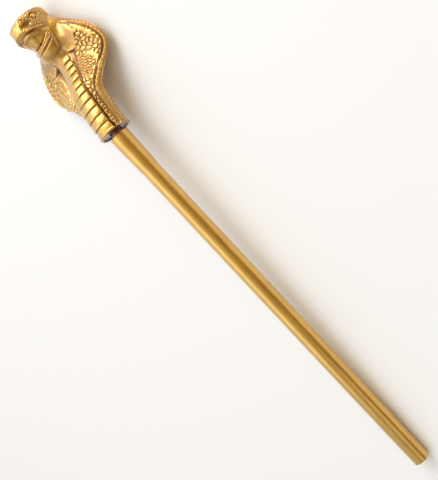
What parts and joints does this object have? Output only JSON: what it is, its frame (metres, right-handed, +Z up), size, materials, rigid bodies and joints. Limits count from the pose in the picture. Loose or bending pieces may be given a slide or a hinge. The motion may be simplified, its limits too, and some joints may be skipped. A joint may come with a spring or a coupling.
{
  "type": "cobra sceptre",
  "caption": "Gold-coloured moulded sceptre lying on its back: a snake's head with an open mouth and a spread, scaled hood on a collar that plugs into a long plain round shaft.",
  "frame": {"origin": "centre of the box's underside, on the surface that the sceptre lies on", "axes": "+X along the sceptre, from the shaft's closed end towards the snake's head; +Z up, the way the snake's belly faces; +Y to the snake's right"},
  "size_m": [0.5038, 0.0918, 0.0417],
  "materials": {
    "cobra_gold": "moulded plastic with a metallic gold coat, satin on the raised scales, browner and duller in the grooves",
    "shaft_gold": "smooth plastic tube with a metallic gold coat, glossier than the head, faintly streaked and scuffed along its length"
  },
  "bodies": {
    "root": {"cobra_head": "cobra_gold", "shaft": "shaft_gold"}
  },
  "joints": []
}
